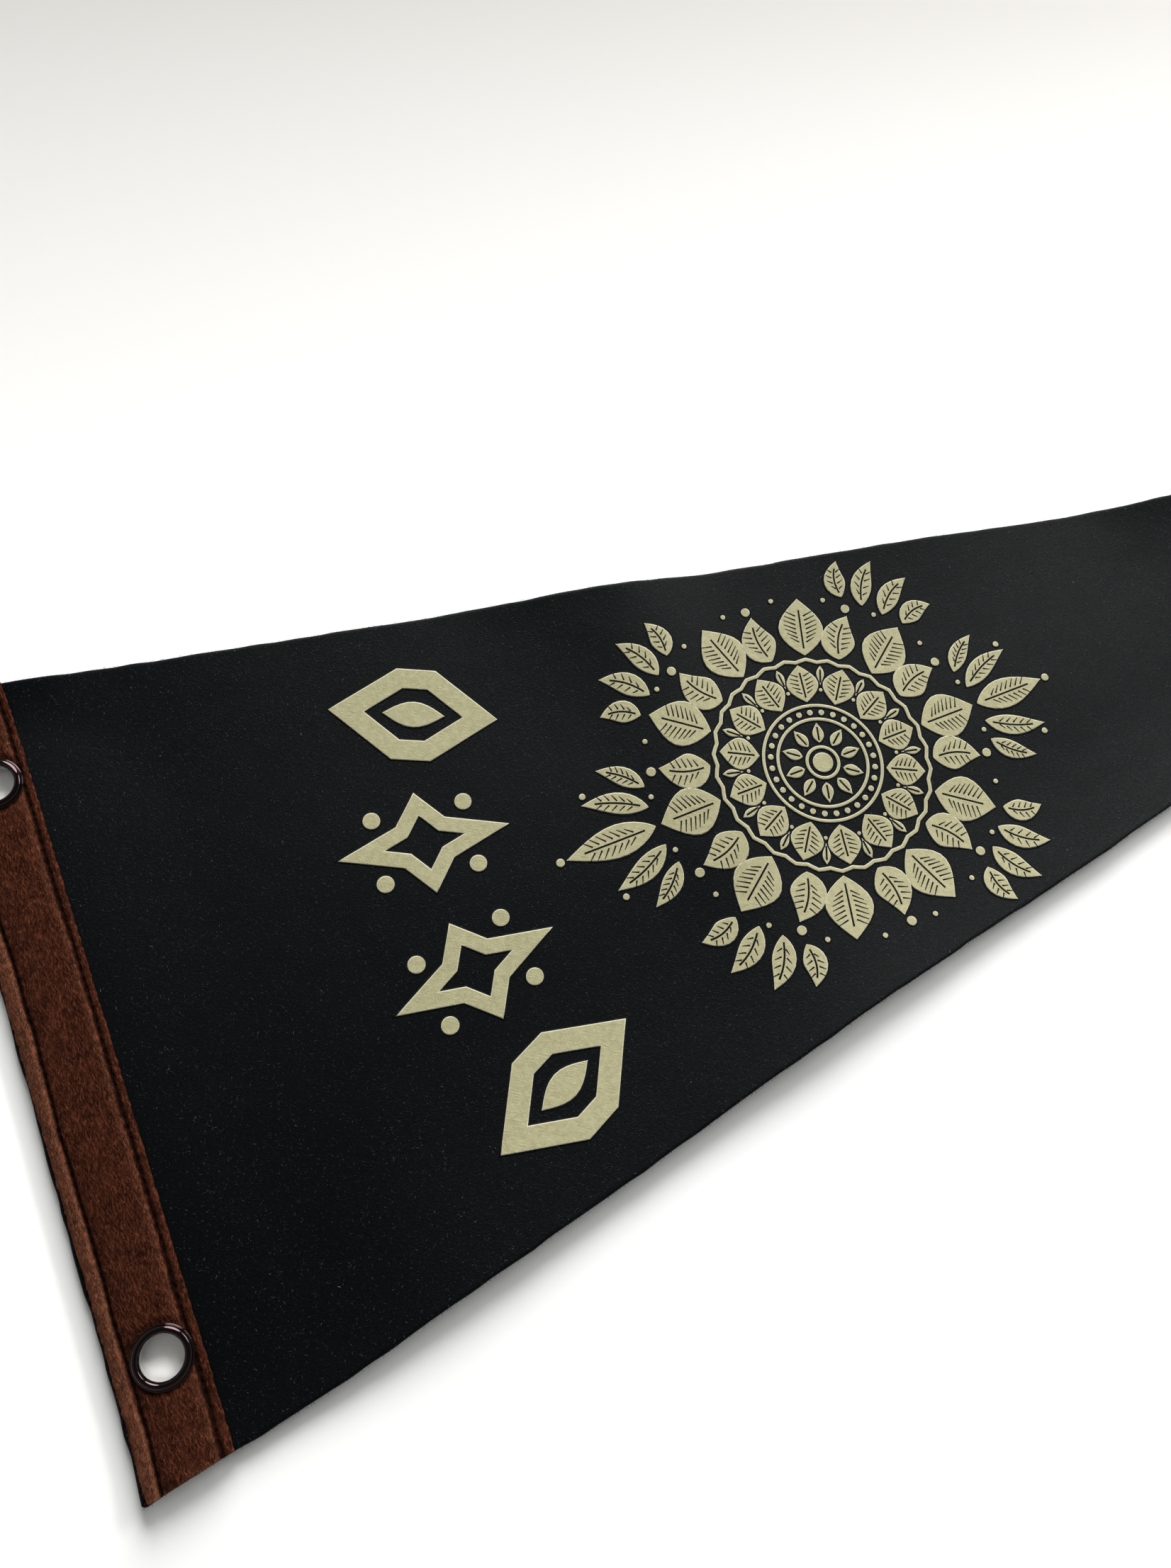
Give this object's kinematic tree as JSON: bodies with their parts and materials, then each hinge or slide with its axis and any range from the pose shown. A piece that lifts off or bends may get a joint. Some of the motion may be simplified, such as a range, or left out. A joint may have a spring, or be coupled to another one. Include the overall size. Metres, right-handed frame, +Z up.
{
  "type": "felt pennant flag",
  "caption": "Long triangular black felt pennant with a brown plush header strip sewn to its wide end and metal eyelets to hang it by.",
  "frame": {"origin": "middle of the flag's footprint, on the surface that it lies on", "axes": "+X from the header strip to the tip, +Y across the flag, +Z up, out of its printed face"},
  "size_m": [0.69, 0.2242, 0.0095],
  "materials": {
    "black_felt": "black wool-blend felt, matt, with short fine fibres",
    "brown_plush": "chocolate brown short-pile plush felt",
    "dark_nickel": "polished black nickel plating",
    "cream_print": "pale cream screen-printed ink, matt, taking up the felt's texture"
  },
  "bodies": {
    "root": {"felt_pennant": "black_felt", "header_strip": "brown_plush", "eyelet_lower": "dark_nickel", "eyelet_upper": "dark_nickel"}
  },
  "joints": []
}
